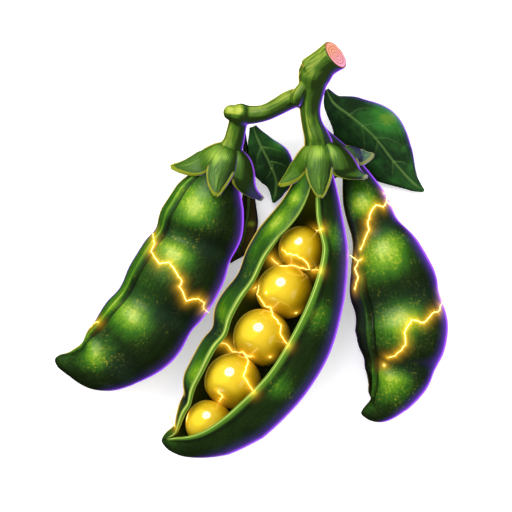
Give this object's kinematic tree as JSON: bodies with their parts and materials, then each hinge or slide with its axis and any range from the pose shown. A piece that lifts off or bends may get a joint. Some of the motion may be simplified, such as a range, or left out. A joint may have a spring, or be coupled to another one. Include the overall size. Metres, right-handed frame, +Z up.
{
  "type": "pea pod sprig",
  "caption": "Cut sprig of plump garden pea pods lying flat, the middle pod split open on its row of golden peas.",
  "frame": {"origin": "middle of the underside of the whole sprig, on the surface it lies on", "axes": "+Z up from the surface, +Y towards the cut end of the stem, +X to the right seen from above with the stem at the top"},
  "size_m": [0.0868, 0.0912, 0.0191],
  "materials": {
    "stem": "fresh green stalk, satin, fine ridges along it",
    "calyx": "fresh green sepal, satin",
    "pod": "waxy green skin, speckled yellow-green on the swellings",
    "pea": "glossy golden skin",
    "leaf": "deep green leaf, satin",
    "leaf_dark": "shaded olive leaf, matt",
    "glow": "thin glowing vein"
  },
  "bodies": {
    "root": {"stem": "stem", "calyx_left": "calyx", "calyx_centre": "calyx", "calyx_right": "calyx", "pod_left": "pod", "pod_centre": "pod", "pod_right": "pod", "pea_1": "pea", "pea_2": "pea", "pea_3": "pea", "pea_4": "pea", "pea_5": "pea", "leaf_right": "leaf", "leaf_left": "leaf", "leaf_back": "leaf_dark"}
  },
  "joints": []
}
